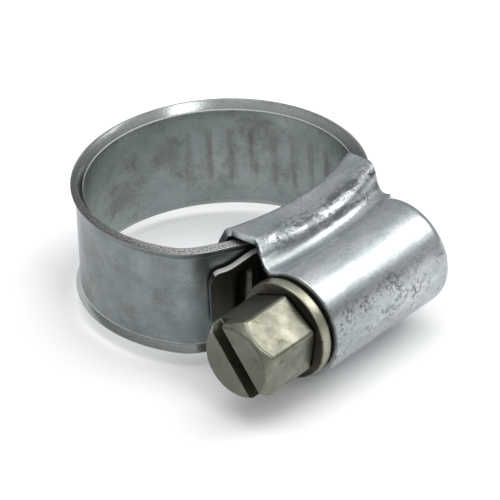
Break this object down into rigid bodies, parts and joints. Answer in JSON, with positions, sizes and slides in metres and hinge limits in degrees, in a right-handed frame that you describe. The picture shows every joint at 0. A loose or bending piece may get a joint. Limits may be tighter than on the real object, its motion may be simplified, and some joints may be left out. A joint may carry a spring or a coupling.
{
  "type": "hose clamp",
  "caption": "Worm-drive hose clamp: a round steel band with flared edges, a pressed housing and a slotted hexagon screw that closes the ring.",
  "frame": {"origin": "middle of the part's box, on the plane that the housing's lower shoulder rests on", "axes": "+X from the ring to the screw, +Y along the screw from its head to its pilot, +Z along the hose"},
  "size_m": [0.0332, 0.0292, 0.0129],
  "materials": {
    "band_zinc": "satin zinc plating, drawn stripes inside",
    "housing_zinc": "bright zinc plating with stains",
    "screw_zinc": "olive tinted zinc plating"
  },
  "bodies": {
    "root": {"housing": "housing_zinc", "band_fixed_end": "band_zinc"},
    "screw": {"screw": "screw_zinc"},
    "band_link_01": {"band_link_01": "band_zinc"},
    "band_link_02": {"band_link_02": "band_zinc"},
    "band_link_03": {"band_link_03": "band_zinc"},
    "band_link_04": {"band_link_04": "band_zinc"},
    "band_link_05": {"band_link_05": "band_zinc"},
    "band_link_06": {"band_link_06": "band_zinc"},
    "band_link_07": {"band_link_07": "band_zinc"},
    "band_link_08": {"band_link_08": "band_zinc"},
    "band_link_09": {"band_link_09": "band_zinc"},
    "band_link_10": {"band_link_10": "band_zinc"},
    "band_tail": {"band_tail": "band_zinc"}
  },
  "joints": [
    {"name": "screw_turn", "type": "hinge", "parent": "root", "child": "screw", "pos_m": [0.01163, 0.00157, 0.00645], "axis": [0, 1, 0], "range_deg": [-360, 1080]},
    {"name": "link_01_bend", "type": "hinge", "parent": "root", "child": "band_link_01", "pos_m": [-0.00075, -0.01037, 0.00645], "axis": [0, 0, 1], "range_deg": [-0.94, 0.31]},
    {"name": "link_02_bend", "type": "hinge", "parent": "band_link_01", "child": "band_link_02", "pos_m": [-0.00704, -0.0102, 0.00645], "axis": [0, 0, 1], "range_deg": [-2.52, 0.84]},
    {"name": "link_03_bend", "type": "hinge", "parent": "band_link_02", "child": "band_link_03", "pos_m": [-0.01241, -0.00693, 0.00645], "axis": [0, 0, 1], "range_deg": [-2.81, 0.94]},
    {"name": "link_04_bend", "type": "hinge", "parent": "band_link_03", "child": "band_link_04", "pos_m": [-0.01547, -0.00144, 0.00645], "axis": [0, 0, 1], "range_deg": [-2.96, 0.99]},
    {"name": "link_05_bend", "type": "hinge", "parent": "band_link_04", "child": "band_link_05", "pos_m": [-0.0154, 0.00485, 0.00645], "axis": [0, 0, 1], "range_deg": [-2.91, 0.97]},
    {"name": "link_06_bend", "type": "hinge", "parent": "band_link_05", "child": "band_link_06", "pos_m": [-0.01222, 0.01028, 0.00645], "axis": [0, 0, 1], "range_deg": [-2.71, 0.91]},
    {"name": "link_07_bend", "type": "hinge", "parent": "band_link_06", "child": "band_link_07", "pos_m": [-0.00677, 0.01342, 0.00645], "axis": [0, 0, 1], "range_deg": [-2.54, 0.85]},
    {"name": "link_08_bend", "type": "hinge", "parent": "band_link_07", "child": "band_link_08", "pos_m": [-0.00048, 0.01345, 0.00645], "axis": [0, 0, 1], "range_deg": [-2.03, 0.68]},
    {"name": "link_09_bend", "type": "hinge", "parent": "band_link_08", "child": "band_link_09", "pos_m": [0.00316, 0.01183, 0.00645], "axis": [0, 0, 1], "range_deg": [-3.51, 1.17]},
    {"name": "link_10_bend", "type": "hinge", "parent": "band_link_09", "child": "band_link_10", "pos_m": [0.00605, 0.0091, 0.00645], "axis": [0, 0, 1], "range_deg": [-0.28, 0.84]},
    {"name": "tail_bend", "type": "hinge", "parent": "band_link_10", "child": "band_tail", "pos_m": [0.00738, 0.00537, 0.00645], "axis": [0, 0, 1], "range_deg": [-1.98, 5.95]}
  ],
  "couplings": [
    {"joint": "link_01_bend", "follows": "screw_turn", "ratio": -0.000872},
    {"joint": "link_02_bend", "follows": "screw_turn", "ratio": -0.0023296},
    {"joint": "link_03_bend", "follows": "screw_turn", "ratio": -0.0026018},
    {"joint": "link_04_bend", "follows": "screw_turn", "ratio": -0.0027426},
    {"joint": "link_05_bend", "follows": "screw_turn", "ratio": -0.002691},
    {"joint": "link_06_bend", "follows": "screw_turn", "ratio": -0.0025125},
    {"joint": "link_07_bend", "follows": "screw_turn", "ratio": -0.0023512},
    {"joint": "link_08_bend", "follows": "screw_turn", "ratio": -0.0018806},
    {"joint": "link_09_bend", "follows": "screw_turn", "ratio": -0.0032482},
    {"joint": "link_10_bend", "follows": "screw_turn", "ratio": 0.0007776},
    {"joint": "tail_bend", "follows": "screw_turn", "ratio": 0.0055077}
  ]
}
